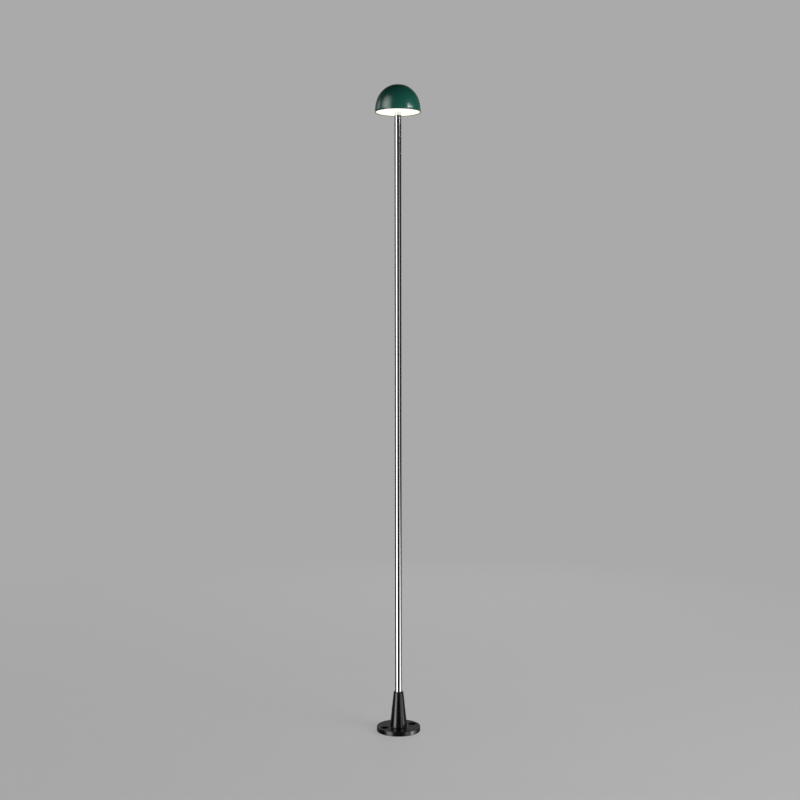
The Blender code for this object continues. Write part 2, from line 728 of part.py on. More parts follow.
# ---------------------------------------------------------------- wiring
def wiring(column):
    """Supply lead up the mast, its three cores, and the two wires to the LEDs."""
    lead_top = RIM_Z + LEAD_TOP
    lead_bottom = INLET_THREAD_TOP - 1.7 * MM
    turned("supply_lead", [(LEAD_RADIUS, lead_bottom), (LEAD_RADIUS, lead_top)], "lead_sheath",
           column, sides=COARSE, hollow=False)

    start = lead_top + GAP
    face = DRIVER_X[0] + 2.0 * MM - GAP  # the side of the terminals where the wires go in
    entry = RIM_Z + DRIVER_BOTTOM + 4.5 * MM
    for name, slot, offset, entry_y in (
        ("core_live", "brown_insulation", (1.35 * MM, -0.6 * MM), -26.0 * MM),
        ("core_neutral", "blue_insulation", (-0.4 * MM, -1.35 * MM), -22.4 * MM),
    ):
        reach = offset[0] / MM
        route = [
            (offset[0], offset[1], start),
            (offset[0], offset[1] - 0.4 * MM, start + 2.0 * MM),
            (2.0 * MM + offset[0], -6.0 * MM, start + (4.6 + reach) * MM),
            (5.0 * MM + offset[0], entry_y * 0.55, start + (1.0 + reach) * MM),
            (6.2 * MM + offset[0], entry_y * 0.85, entry + 4.0 * MM),
            (8.6 * MM, entry_y, entry + 0.6 * MM),
            (face, entry_y, entry),
        ]
        wire(name, route, slot, column)

    crimp_top = RIM_Z + TRAY_TOP + GAP + EARTH_CRIMP
    route = [
        (-1.0 * MM, 1.2 * MM, start),
        (-1.4 * MM, 1.2 * MM, start + 1.8 * MM),
        (-6.0 * MM, 0.8 * MM, start + 3.4 * MM),
        (-11.5 * MM, 0.3 * MM, start - 2.0 * MM),
        (-13.2 * MM, 0.0, crimp_top + 4.0 * MM),
        (-13.4 * MM, 0.0, crimp_top + GAP),
    ]
    wire("core_earth", route, "earth_insulation", column)

    hole_x = 1.6 * MM
    bottom = RIM_Z + TRAY_BOTTOM + 0.3 * MM
    for name, slot, side, entry_y in (
        ("led_wire_red", "red_insulation", 1.0, 22.6 * MM),
        ("led_wire_black", "black_insulation", -1.0, 26.0 * MM),
    ):
        rise = RIM_Z + TRAY_TOP
        route = [
            (side * hole_x, LED_WIRE_HOLE_Y, bottom),
            (side * hole_x, LED_WIRE_HOLE_Y, rise + 1.5 * MM),
            (side * hole_x + 0.8 * MM, LED_WIRE_HOLE_Y + 2.0 * MM, rise + 4.6 * MM),
            (side * hole_x + 4.5 * MM, entry_y - 1.0 * MM, entry + 0.8 * MM),
            (9.5 * MM, entry_y, entry + 0.2 * MM),
            (face, entry_y, entry),
        ]
        wire(name, route, slot, column)


def earth_terminal(column):
    """Ring tag with its crimp barrel, and the screw that earths the tray."""
    low = RIM_Z + TRAY_TOP + GAP
    ring = 4.2 * MM
    top = low + 0.8 * MM
    tag = turned("earth_tag", [(ring, low), (ring, top)], "brass", column, sides=16, hollow=False,
                 at=(EARTH_X, 0.0, 0.0))
    crimp = box_shape((EARTH_X + 3.8 * MM, -1.5 * MM, low),
                      (EARTH_X + 10.0 * MM, 1.5 * MM, low + EARTH_CRIMP))
    combine(tag, cutter("earth_crimp", crimp, column), "UNION")
    drill(tag, "earth_tag_cut", (EARTH_X, 0.0), EARTH_SHANK + GAP, low - OVERCUT,
          top + 0.6 * MM)
    screw("earth_screw", (EARTH_X, 0.0, top + GAP), 3.4 * MM, "brass", column,
          shank=EARTH_SHANK, head=3.4 * MM, flip=True)


# ---------------------------------------------------------------- dome
def dome_outline(radius, height, start, end, count):
    """Points of the dome's outline between two angles, from the rim (0) to the top (90)."""
    power = 2.0 / DOME_SQUARENESS
    points = []
    for index in range(count + 1):
        angle = math.radians(start + (end - start) * index / count)
        across = round(math.cos(angle), 9)  # exactly 0 at the top
        points.append((radius * across**power, height * math.sin(angle) ** power))
    return points


def dome_shell(dome, column):
    """Lacquered dome with three screw posts inside."""
    outer = dome_outline(DOME_RADIUS, DOME_HEIGHT, 90.0, 0.0, 10)
    inner = dome_outline(DOME_RADIUS - DOME_WALL, DOME_HEIGHT - DOME_WALL, 0.0, 90.0, 8)
    shell = turned("dome_shell", outer + inner, "green_lacquer", dome, sides=FINE, hollow=False)

    post_bottom = TRAY_TOP + GAP
    middle = dome_outline(DOME_RADIUS - DOME_WALL / 2.0, DOME_HEIGHT - DOME_WALL / 2.0,
                          0.0, 90.0, 10)
    limit = cutter("dome_post_limit", spun(middle, FINE, hollow=False), dome)
    for index, degrees in enumerate(DOME_SCREW_ANGLES, start=1):
        place = polar(DOME_SCREW_CIRCLE, degrees, 0.0)
        shape = spun([(BOSS_RADIUS, post_bottom), (BOSS_RADIUS, BOSS_TOP)], COARSE, hollow=False)
        post = cutter(f"dome_post_{index}", shape, dome, at=place)
        combine(post, limit, "INTERSECT")
        combine(shell, post, "UNION")
        drill(shell, f"dome_post_cut_{index}", place, SCREW_SHANK + GAP,
              post_bottom - OVERCUT, DOME_SCREW_TOP + 2.0 * MM)
        head_top = RIM_Z + TRAY_BOTTOM - GAP
        screw(f"dome_screw_{index}", polar(DOME_SCREW_CIRCLE, degrees, head_top),
              RIM_Z + DOME_SCREW_TOP - head_top, "zinc_steel", column)


def main():
    clear_scene()
    for slot, (color, roughness, metallic) in FINISHES.items():
        finish(slot, color, roughness, metallic)
    base = frame_empty("base_frame")
    column = frame_empty("column_turn_axis", base)
    dome = frame_empty("dome_lift_axis", column, (0.0, 0.0, RIM_Z))
    base_casting(base)
    set_screws(base)
    socket_seal(base)
    supply_inlet(base)
    mast(column)
    head_clamp(column)
    heat_sink_tray(column)
    led_module(column)
    diffuser(column)
    driver(column)
    wiring(column)
    earth_terminal(column)
    dome_shell(dome, column)


main()
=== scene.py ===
import json
import math

import bmesh
import bpy
from mathutils import Euler, Matrix, Quaternion, Vector

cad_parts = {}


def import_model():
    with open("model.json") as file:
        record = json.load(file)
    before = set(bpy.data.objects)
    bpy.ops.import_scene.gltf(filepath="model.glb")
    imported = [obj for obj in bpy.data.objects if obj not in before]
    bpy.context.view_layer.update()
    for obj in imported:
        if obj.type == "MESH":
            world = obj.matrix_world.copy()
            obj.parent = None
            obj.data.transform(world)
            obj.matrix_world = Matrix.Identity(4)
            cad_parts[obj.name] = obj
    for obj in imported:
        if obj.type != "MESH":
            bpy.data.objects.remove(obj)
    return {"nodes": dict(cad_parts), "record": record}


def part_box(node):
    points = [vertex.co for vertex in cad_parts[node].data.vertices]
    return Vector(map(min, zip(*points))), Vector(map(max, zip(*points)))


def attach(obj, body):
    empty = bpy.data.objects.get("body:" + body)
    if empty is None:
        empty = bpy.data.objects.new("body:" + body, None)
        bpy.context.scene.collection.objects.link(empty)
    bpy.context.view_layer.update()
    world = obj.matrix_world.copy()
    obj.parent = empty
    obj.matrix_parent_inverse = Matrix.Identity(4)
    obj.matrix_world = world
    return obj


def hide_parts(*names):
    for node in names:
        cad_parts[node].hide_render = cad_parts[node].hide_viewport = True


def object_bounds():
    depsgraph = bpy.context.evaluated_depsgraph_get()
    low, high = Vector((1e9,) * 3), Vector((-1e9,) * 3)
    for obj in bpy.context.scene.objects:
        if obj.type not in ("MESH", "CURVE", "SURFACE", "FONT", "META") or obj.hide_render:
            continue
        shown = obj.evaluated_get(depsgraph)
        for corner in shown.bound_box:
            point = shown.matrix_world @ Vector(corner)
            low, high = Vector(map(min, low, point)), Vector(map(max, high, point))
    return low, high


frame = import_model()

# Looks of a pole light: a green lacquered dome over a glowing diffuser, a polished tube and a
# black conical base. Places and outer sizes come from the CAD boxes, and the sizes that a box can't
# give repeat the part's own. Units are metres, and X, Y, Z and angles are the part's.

cad_low, cad_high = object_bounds()
MM = 0.001
TURN = math.tau

# ---------------------------------------------------------------- places from the CAD
dome_low, dome_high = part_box("dome_shell")
tube_low, tube_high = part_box("column_tube")
_, cast_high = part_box("base_casting")
seal_low, seal_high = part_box("socket_seal")
opal_low, opal_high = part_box("diffuser_cover")
_, tray_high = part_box("heat_sink_tray")

RIM_Z = dome_low.z
DOME_RADIUS = dome_high.x
DOME_HEIGHT = dome_high.z - dome_low.z
DOME_WALL = 1.6 * MM
DOME_SQUARENESS = 2.25  # exponent of the dome's outline: 2 is an ellipse
POST_CIRCLE = 42.5 * MM
POST_ANGLES = (60.0, 180.0, 300.0)
POST_RADIUS = 3.2 * MM
POST_TOP = RIM_Z + 30.0 * MM
POST_BORE_RADIUS = 1.75 * MM
POST_BORE_TOP = RIM_Z + 24.0 * MM

OPAL_PLATE = 2.5 * MM

TUBE_RADIUS = tube_high.x
TUBE_BORE = TUBE_RADIUS - 1.2 * MM
SOCKET_RADIUS = TUBE_RADIUS + 0.3 * MM

FLANGE_RADIUS = cast_high.x
FLANGE_TOP = 10.5 * MM
BASE_TOP = cast_high.z
CONE_FOOT = 20.1 * MM
CONE_TOP = 11.3 * MM
ANCHOR_CIRCLE = 35.5 * MM
ANCHOR_ANGLES = (25.0, 205.0)
SET_SCREW_ANGLES = (55.0, 125.0)
SET_SCREW_Z = 45.0 * MM

LED_COUNT = 12


# ---------------------------------------------------------------- mesh tools
def rounded_corner(before, corner, after, radius, steps):
    """Points of the arc that rounds one corner of an outline."""
    to_before = (before - corner).normalized()
    to_after = (after - corner).normalized()
    half = to_before.angle(to_after) / 2.0
    reach = radius / math.tan(half)
    center = corner + (to_before + to_after).normalized() * (radius / math.sin(half))
    start = corner + to_before * reach - center
    end = corner + to_after * reach - center
    sweep = start.angle(end)
    points = []
    for index in range(steps + 1):
        t = index / steps
        arm = start * math.sin((1.0 - t) * sweep) + end * math.sin(t * sweep)
        points.append(center + arm / math.sin(sweep))
    return points


def outline(corners, steps=4):
    """A closed outline in the (radius, height) plane; a third number rounds that corner."""
    spots = [Vector(corner[:2]) for corner in corners]
    points = []
    for index, corner in enumerate(corners):
        before = spots[index - 1]
        after = spots[(index + 1) % len(spots)]
        if len(corner) == 3:
            points += rounded_corner(before, spots[index], after, corner[2], steps)
        else:
            points.append(spots[index])
    return points


def lathe_mesh(name, points, sides, closed=True):
    """Turn an outline round Z. An open one starts and ends on the axis."""
    shape = bmesh.new()
    rings = []
    for radius, height in points:
        if radius < 1e-7:
            rings.append([shape.verts.new((0.0, 0.0, height))] * sides)
            continue
        ring = []
        for index in range(sides):
            angle = TURN * index / sides
            ring.append(shape.verts.new((radius * math.cos(angle), radius * math.sin(angle), height)))
        rings.append(ring)
    pairs = list(zip(rings, rings[1:]))
    if closed:
        pairs.append((rings[-1], rings[0]))
    for lower, upper in pairs:
        for index in range(sides):
            corners = (lower[index - 1], lower[index], upper[index], upper[index - 1])
            distinct = list(dict.fromkeys(corners))
            if len(distinct) > 2:
                shape.faces.new(distinct)
    return finish_mesh(name, shape)


def peg_mesh(steps, sides):
    """A solid round body from (radius, height) steps, with flat ends."""
    points = [(0.0, steps[0][1]), *steps, (0.0, steps[-1][1])]
    return lathe_mesh("peg", [Vector(point) for point in points], sides, closed=False)


def finish_mesh(name, shape):
    """Turn a bmesh into a smooth-shaded mesh whose faces point out."""
    bmesh.ops.recalc_face_normals(shape, faces=shape.faces)
    if shape.calc_volume(signed=True) < 0.0:
        bmesh.ops.reverse_faces(shape, faces=shape.faces)
    mesh = bpy.data.meshes.new(name)
    shape.to_mesh(mesh)
    shape.free()
    return shade(mesh)


def shade(mesh, sharp=32.0):
    """Smooth shading, apart from edges sharper than an angle in degrees."""
    mesh.shade_smooth()
    mesh.set_sharp_from_angle(angle=math.radians(sharp))
    return mesh


def link(name, data):
    """A new object in the scene."""
    piece = bpy.data.objects.new(name, data)
    bpy.context.scene.collection.objects.link(piece)
    return piece


def settle(piece):
    """Fix a piece's modifiers into its mesh."""
    graph = bpy.context.evaluated_depsgraph_get()
    mesh = bpy.data.meshes.new_from_object(piece.evaluated_get(graph))
    mesh.name = piece.name
    piece.modifiers.clear()
    piece.data = shade(mesh)


def cut(piece, mesh, place, operation="DIFFERENCE"):
    """Cut a body out of a piece, or join it on, and throw the body away."""
    tool = link("tool", mesh)
    tool.matrix_world = place
    step = piece.modifiers.new("cut", "BOOLEAN")
    step.operation = operation
    step.solver = "EXACT"
    step.object = tool
    bpy.context.view_layer.update()
    settle(piece)
    bpy.data.objects.remove(tool, do_unlink=True)


def weigh_normals(piece):
    """Keep flat faces looking flat beside their small rounded edges."""
    step = piece.modifiers.new("normals", "WEIGHTED_NORMAL")
    step.weight = 100
    step.keep_sharp = True


def dress(piece, body, slot, *nodes, material=None):
    """Give a new piece its body and the material named by its slot, and hide the CAD nodes that it stands
    for.
    """
    piece.data.materials.clear()
    piece.data.materials.append(material or LOOKS[slot])
    if nodes:
        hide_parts(*nodes)
    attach(piece, body)


def on_circle(radius, degrees):
    """A move from the axis to a point on a circle round it."""
    angle = math.radians(degrees)
    return Matrix.Translation((radius * math.cos(angle), radius * math.sin(angle), 0.0))


# ---------------------------------------------------------------- material tools
def mapped(tree, value, start, end, low, high, smooth=False):
    """Map a value from one span to another, clamped."""
    node = tree.nodes.new("ShaderNodeMapRange")
    node.interpolation_type = "SMOOTHSTEP" if smooth else "LINEAR"
    for socket, number in (("From Min", start), ("From Max", end), ("To Min", low), ("To Max", high)):
        node.inputs[socket].default_value = number
    tree.links.new(value, node.inputs["Value"])
    return node.outputs["Result"]


def computed(tree, operation, *values):
    """A maths node on numbers or on other nodes' outputs."""
    node = tree.nodes.new("ShaderNodeMath")
    node.operation = operation
    for socket, value in zip(node.inputs, values):
        if isinstance(value, bpy.types.NodeSocket):
            tree.links.new(value, socket)
        else:
            socket.default_value = value
    return node.outputs["Value"]


def split(tree, vector):
    """The X, Y and Z of a vector, by name."""
    node = tree.nodes.new("ShaderNodeSeparateXYZ")
    tree.links.new(vector, node.inputs["Vector"])
    return node.outputs


class Look:
    """A Principled material with a few shorthand ways to add procedural detail."""

    def __init__(self, name, color, roughness, metallic=0.0):
        self.material = bpy.data.materials.new(name)
        self.material.use_nodes = True
        self.tree = self.material.node_tree
        self.shader = self.tree.nodes["Principled BSDF"]
        self.set("Base Color", (*color, 1.0))
        self.set("Roughness", roughness)
        self.set("Metallic", metallic)
        self.place = self.tree.nodes.new("ShaderNodeTexCoord").outputs["Object"]

    def set(self, socket, value):
        self.shader.inputs[socket].default_value = value
        return self

    def join(self, output, socket):
        self.tree.links.new(output, socket)

    def noise(self, scale, detail=2.0, stretch=(1.0, 1.0, 1.0)):
        mapping = self.tree.nodes.new("ShaderNodeMapping")
        mapping.inputs["Scale"].default_value = stretch
        self.join(self.place, mapping.inputs["Vector"])
        texture = self.tree.nodes.new("ShaderNodeTexNoise")
        texture.inputs["Scale"].default_value = scale
        texture.inputs["Detail"].default_value = detail
        self.join(mapping.outputs["Vector"], texture.inputs["Vector"])
        return texture.outputs["Fac"]

    def spread(self, value, low, high, start=0.3, end=0.7):
        """Map a value, such as the middle of a noise's range, to the span from low to high."""
        return mapped(self.tree, value, start, end, low, high)

    def blend(self, factor, first, second):
        """Mix two colours by a factor."""
        node = self.tree.nodes.new("ShaderNodeMix")
        node.data_type = "RGBA"
        self.join(factor, node.inputs["Factor"])
        for socket, color in (("A", first), ("B", second)):
            target = [i for i in node.inputs if i.name == socket and i.type == "RGBA"][0]
            if isinstance(color, bpy.types.NodeSocket):
                self.join(color, target)
            else:
                target.default_value = (*color, 1.0)
        return [o for o in node.outputs if o.type == "RGBA"][0]

    def math(self, operation, *values):
        return computed(self.tree, operation, *values)

    def parts(self):
        """The X, Y and Z of the object's own coordinates."""
        axes = split(self.tree, self.place)
        return axes["X"], axes["Y"], axes["Z"]

    def radius(self):
        """Distance from the object's own Z axis."""
        x, y, _ = self.parts()
        return self.math("SQRT", self.math("ADD", self.math("MULTIPLY", x, x), self.math("MULTIPLY", y, y)))

    def color(self, output):
        self.join(output, self.shader.inputs["Base Color"])
        return self

    def rough(self, output):
        self.join(output, self.shader.inputs["Roughness"])
        return self

    def bump(self, height, distance, strength=1.0):
        node = self.tree.nodes.new("ShaderNodeBump")
        node.inputs["Strength"].default_value = strength
        node.inputs["Distance"].default_value = distance
        self.join(height, node.inputs["Height"])
        self.join(node.outputs["Normal"], self.shader.inputs["Normal"])
        return self


# ---------------------------------------------------------------- materials
def green_lacquer():
    """Deep green baked lacquer: a clear glossy coat with a trace of orange peel."""
    look = Look("green_lacquer", (0.02, 0.153, 0.107), 0.3)
    cloud = look.noise(18.0, 3.0)
    look.color(look.blend(look.spread(cloud, 0.0, 1.0), (0.015, 0.138, 0.100), (0.020, 0.168, 0.122)))
    look.rough(look.spread(look.noise(90.0, 2.0), 0.28, 0.34, 0.2, 0.8))
    look.set("Coat Weight", 1.0).set("Coat Roughness", 0.1).set("Coat IOR", 1.5)
    look.set("Specular IOR Level", 0.3)
    return look.bump(look.noise(420.0, 2.0), 0.004 * MM, 0.2).material


def polished_steel():
    """Polished stainless tube: fine draw lines along it and faint cloudy wear."""
    look = Look("polished_steel", (0.74, 0.74, 0.745), 0.1, 1.0)
    lines = look.noise(900.0, 3.0, (1.0, 1.0, 0.004))
    cloud = look.noise(14.0, 3.0, (1.0, 1.0, 0.35))
    look.color(look.blend(look.spread(cloud, 0.0, 1.0), (0.70, 0.70, 0.71), (0.78, 0.78, 0.78)))
    look.rough(look.math("ADD", look.spread(cloud, 0.0, 0.03), look.spread(lines, 0.06, 0.1)))
    return look.bump(lines, 0.002 * MM, 0.2).material


def black_powder_coat():
    """Semi-gloss black powder coat with a fine pebbled skin."""
    look = Look("black_powder_coat", (0.006, 0.006, 0.0065), 0.26)
    fine = look.noise(1400.0, 2.0)
    cloud = look.noise(45.0, 4.0)
    look.color(look.blend(look.spread(cloud, 0.0, 1.0), (0.004, 0.004, 0.0045), (0.008, 0.008, 0.0085)))
    look.rough(look.spread(cloud, 0.22, 0.29))
    look.set("Specular IOR Level", 0.85)
    return look.bump(fine, 0.03 * MM, 0.25).material


def opal_plastic():
    """Opal diffuser, brightest under the ring of LEDs, warmer at its edge and dimmer up its wall."""
    look = Look("opal_plastic", (0.93, 0.89, 0.82), 0.32)
    ramp = look.tree.nodes.new("ShaderNodeValToRGB")
    stops = ((0.0, (1.0, 0.84, 0.62)), (0.3, (1.0, 0.92, 0.79)), (0.6, (1.0, 0.96, 0.88)),
             (0.9, (1.0, 0.93, 0.80)), (1.0, (1.0, 0.84, 0.60)))
    for position, _ in stops[1:-1]:
        ramp.color_ramp.elements.new(position)
    for element, (_, color) in zip(ramp.color_ramp.elements, stops):
        element.color = (*color, 1.0)
    look.join(look.math("DIVIDE", look.radius(), opal_high.x), ramp.inputs["Fac"])
    _, _, height = look.parts()
    wall = look.spread(height, 0.0, 1.0, opal_low.z + OPAL_PLATE, opal_high.z)
    glow = look.blend(wall, ramp.outputs["Color"], (0.30, 0.24, 0.16))
    look.join(glow, look.shader.inputs["Emission Color"])
    look.set("Emission Strength", 0.84)
    look.rough(look.spread(look.noise(600.0, 2.0), 0.28, 0.4))
    return look.bump(look.noise(1600.0, 2.0), 0.02 * MM, 0.2).material


def black_rubber():
    """Matte rubber with fine grain and a little dust-like unevenness."""
    look = Look("black_rubber", (0.02, 0.02, 0.02), 0.7)
    cloud = look.noise(300.0, 4.0)
    look.color(look.blend(look.spread(cloud, 0.0, 1.0), (0.014, 0.014, 0.014), (0.03, 0.03, 0.03)))
    look.rough(look.spread(cloud, 0.55, 0.78))
    return look.bump(look.noise(2200.0, 3.0), 0.03 * MM, 0.4).material


def plated(name, first, second, low, high):
    """Plated or bare metal with cloudy colour and uneven polish."""
    look = Look(name, first, (low + high) / 2.0, 1.0)
    cloud = look.noise(220.0, 4.0)
    look.color(look.blend(look.spread(cloud, 0.0, 1.0), first, second))
    look.rough(look.spread(look.noise(520.0, 3.0), low, high))
    return look.bump(look.noise(1500.0, 2.0), 0.01 * MM, 0.3).material


def aluminium_tray():
    """Spun aluminium: fine rings round the centre."""
    look = Look("aluminium_tray", (0.76, 0.77, 0.78), 0.34, 1.0)
    rings = look.math("SINE", look.math("MULTIPLY", look.radius(), 9000.0))
    cloud = look.noise(60.0, 3.0)
    look.color(look.blend(look.spread(cloud, 0.0, 1.0), (0.70, 0.71, 0.72), (0.80, 0.81, 0.82)))
    look.rough(look.math("ADD", look.spread(rings, 0.0, 0.08, -1.0, 1.0), look.spread(cloud, 0.26, 0.36)))
    return look.bump(rings, 0.006 * MM, 0.5).material


def moulded(name, first, second, low, high, grain=900.0):
    """Moulded plastic with a fine spark-eroded grain."""
    look = Look(name, first, (low + high) / 2.0)
    cloud = look.noise(120.0, 3.0)
    look.color(look.blend(look.spread(cloud, 0.0, 1.0), first, second))
    look.rough(look.spread(cloud, low, high))
    return look.bump(look.noise(grain, 2.0), 0.03 * MM, 0.35).material


def circuit_board(name, mask, trace):
    """Solder mask over tracks that show through as slightly paler bands."""
    look = Look(name, mask, 0.38)
    x, y, _ = look.parts()
    rings = look.math("SINE", look.math("MULTIPLY", look.radius(), 1400.0))
    rows = look.math("SINE", look.math("MULTIPLY", look.math("ADD", x, y), 1100.0))
    tracks = look.math("GREATER_THAN", look.math("MULTIPLY", rings, rows), 0.35)
    look.color(look.blend(tracks, mask, trace))
    look.rough(look.spread(look.noise(300.0, 2.0), 0.3, 0.42))
    return look.bump(tracks, 0.02 * MM, 0.6).material


def led_package():
    """White moulded LED package."""
    look = Look("led_package", (0.85, 0.84, 0.8), 0.4)
    return look.rough(look.spread(look.noise(900.0, 2.0), 0.32, 0.48)).material


def led_phosphor():
    """Yellow phosphor under clear silicone, lit."""
    look = Look("led_phosphor", (0.9, 0.68, 0.2), 0.2)
    grain = look.spread(look.noise(2500.0, 2.0), 0.0, 1.0)
    look.color(look.blend(grain, (0.85, 0.6, 0.14), (0.95, 0.76, 0.3)))
    look.set("Emission Color", (1.0, 0.8, 0.5, 1.0)).set("Emission Strength", 3.0)
    look.set("Coat Weight", 0.8).set("Coat Roughness", 0.05)
    return look.material


def earth_insulation():
    """Green insulation with a yellow stripe that winds round it."""
    look = Look("earth_insulation", (0.05, 0.3, 0.05), 0.45)
    x, y, z = look.parts()
    wave = look.math("SINE", look.math("MULTIPLY", look.math("ADD", look.math("ADD", x, y), z), 1500.0))
    stripe = look.math("GREATER_THAN", wave, 0.2)
    look.color(look.blend(stripe, (0.04, 0.26, 0.05), (0.75, 0.62, 0.04)))
    look.rough(look.spread(look.noise(900.0, 2.0), 0.38, 0.5))
    return look.material


LOOKS = {
    "green_lacquer": green_lacquer(),
    "polished_steel": polished_steel(),
    "black_powder_coat": black_powder_coat(),
    "opal_plastic": opal_plastic(),
    "black_rubber": black_rubber(),
    "zinc_steel": plated("zinc_steel", (0.50, 0.52, 0.55), (0.66, 0.67, 0.68), 0.24, 0.4),
    "black_steel": plated("black_steel", (0.03, 0.03, 0.032), (0.055, 0.053, 0.05), 0.35, 0.5),
    "brass": plated("brass", (0.70, 0.49, 0.20), (0.80, 0.60, 0.30), 0.18, 0.32),
    "aluminium_tray": aluminium_tray(),
    "white_board": circuit_board("white_board", (0.84, 0.85, 0.83), (0.90, 0.90, 0.88)),
    "green_board": circuit_board("green_board", (0.015, 0.13, 0.055), (0.04, 0.26, 0.11)),
    "led_phosphor": led_phosphor(),
    "white_plastic": moulded("white_plastic", (0.76, 0.76, 0.74), (0.82, 0.82, 0.81), 0.38, 0.52),
    "black_plastic": moulded("black_plastic", (0.018, 0.018, 0.02), (0.03, 0.03, 0.032), 0.35, 0.5),
    "grey_plastic": moulded("grey_plastic", (0.32, 0.33, 0.34), (0.39, 0.40, 0.41), 0.42, 0.56),
    "yellow_tape": moulded("yellow_tape", (0.78, 0.57, 0.07), (0.85, 0.66, 0.10), 0.25, 0.4, 300.0),
    "lead_sheath": moulded("lead_sheath", (0.02, 0.02, 0.02), (0.035, 0.035, 0.035), 0.5, 0.62),
    "brown_insulation": moulded("brown_insulation", (0.16, 0.06, 0.025), (0.2, 0.08, 0.035), 0.38, 0.5),
    "blue_insulation": moulded("blue_insulation", (0.02, 0.10, 0.50), (0.04, 0.14, 0.6), 0.38, 0.5),
    "earth_insulation": earth_insulation(),
    "red_insulation": moulded("red_insulation", (0.55, 0.02, 0.02), (0.65, 0.04, 0.03), 0.38, 0.5),
    "black_insulation": moulded("black_insulation", (0.015, 0.015, 0.015), (0.03, 0.03, 0.03), 0.38, 0.5),
}


# ---------------------------------------------------------------- dome and diffuser
def dome_curve(radius, height, first, last, count):
    """The dome's outline between two angles, from the rim (0) to the top (90)."""
    power = 2.0 / DOME_SQUARENESS
    points = []
    for index in range(count + 1):
        angle = math.radians(first + (last - first) * index / count)
        across = radius * max(math.cos(angle), 0.0) ** power
        up = height * max(math.sin(angle), 0.0) ** power
        points.append(Vector((across if across > 1e-6 else 0.0, RIM_Z + up)))
    return points


def dome_shell():
    """Smooth shell with a rounded lip, and its three screw posts inside."""
    lip = 0.45 * MM
    outer = dome_curve(DOME_RADIUS, DOME_HEIGHT, 3.0, 90.0, 58)
    inner = dome_curve(DOME_RADIUS - DOME_WALL, DOME_HEIGHT - DOME_WALL, 90.0, 3.0, 48)
    inside = DOME_RADIUS - DOME_WALL
    foot = outline([
        (inside, outer[0].y), (inside, RIM_Z, lip), (DOME_RADIUS, RIM_Z, lip), (DOME_RADIUS, outer[0].y),
    ], steps=5)
    shell = link("dome", lathe_mesh("dome", [inner[-1]] + foot[1:-1] + outer + inner[:-1], 160))
    bottom = tray_high.z + 0.3 * MM
    edge = 0.35 * MM
    post = [(POST_RADIUS - edge, bottom), (POST_RADIUS, bottom + edge), (POST_RADIUS, POST_TOP)]
    bore = [(POST_BORE_RADIUS, bottom - 1.0 * MM), (POST_BORE_RADIUS, POST_BORE_TOP)]
    for degrees in POST_ANGLES:
        cut(shell, peg_mesh(post, 32), on_circle(POST_CIRCLE, degrees), "UNION")
        cut(shell, peg_mesh(bore, 24), on_circle(POST_CIRCLE, degrees))
    dress(shell, "dome", "green_lacquer", "dome_shell")


def diffuser():
    """Opal dish: stepped plate, inner collar round the tube and a snap lip over the tray."""
    bottom = opal_low.z
    plate_top = bottom + OPAL_PLATE
    lip_bottom = opal_high.z - 1.1 * MM
    ledge_top = RIM_Z + 10.3 * MM
    collar_top = RIM_Z + 11.0 * MM
    hole = TUBE_RADIUS + 0.4 * MM
    collar_inner, collar_outer = 10.2 * MM, 12.0 * MM
    ledge, lip, lip_mouth, groove, wall = 45.8 * MM, 46.8 * MM, 47.3 * MM, 47.7 * MM, 49.1 * MM
    corners = [
        (hole, bottom, 0.3 * MM),
        (opal_high.x, bottom, 0.7 * MM),
        (opal_high.x, plate_top, 0.3 * MM),
        (wall, plate_top),
        (wall, opal_high.z, 0.3 * MM),
        (lip_mouth, opal_high.z, 0.2 * MM),
        (lip, lip_bottom + 0.3 * MM),
        (lip, lip_bottom),
        (groove, lip_bottom),
        (groove, ledge_top),
        (ledge, ledge_top, 0.2 * MM),
        (ledge, plate_top),
        (collar_outer, plate_top),
        (collar_outer, collar_top, 0.2 * MM),
        (collar_inner, collar_top, 0.2 * MM),
        (collar_inner, plate_top),
        (hole, plate_top),
    ]
    piece = link("diffuser", lathe_mesh("diffuser", outline(corners), 144))
    weigh_normals(piece)
    dress(piece, "column", "opal_plastic", "diffuser_cover")


def pole_seal():
    """Rubber ring with soft edges between the diffuser's collar and the tube."""
    low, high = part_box("pole_seal")
    edge = 0.3 * MM
    corners = [(SOCKET_RADIUS, low.z, edge), (high.x, low.z, edge),
               (high.x, high.z, edge), (SOCKET_RADIUS, high.z, edge)]
    piece = link("collar_seal", lathe_mesh("collar_seal", outline(corners), 64))
    dress(piece, "column", "black_rubber", "pole_seal")


# ---------------------------------------------------------------- mast
def mast():
    """Seamless tube with softly broken ends."""
    edge = 0.2 * MM
    corners = [(TUBE_BORE, tube_low.z, edge), (TUBE_RADIUS, tube_low.z, edge),
               (TUBE_RADIUS, tube_high.z, edge), (TUBE_BORE, tube_high.z, edge)]
    piece = link("mast_tube", lathe_mesh("mast_tube", outline(corners, 3), 96))
    weigh_normals(piece)
    dress(piece, "column", "polished_steel", "column_tube")


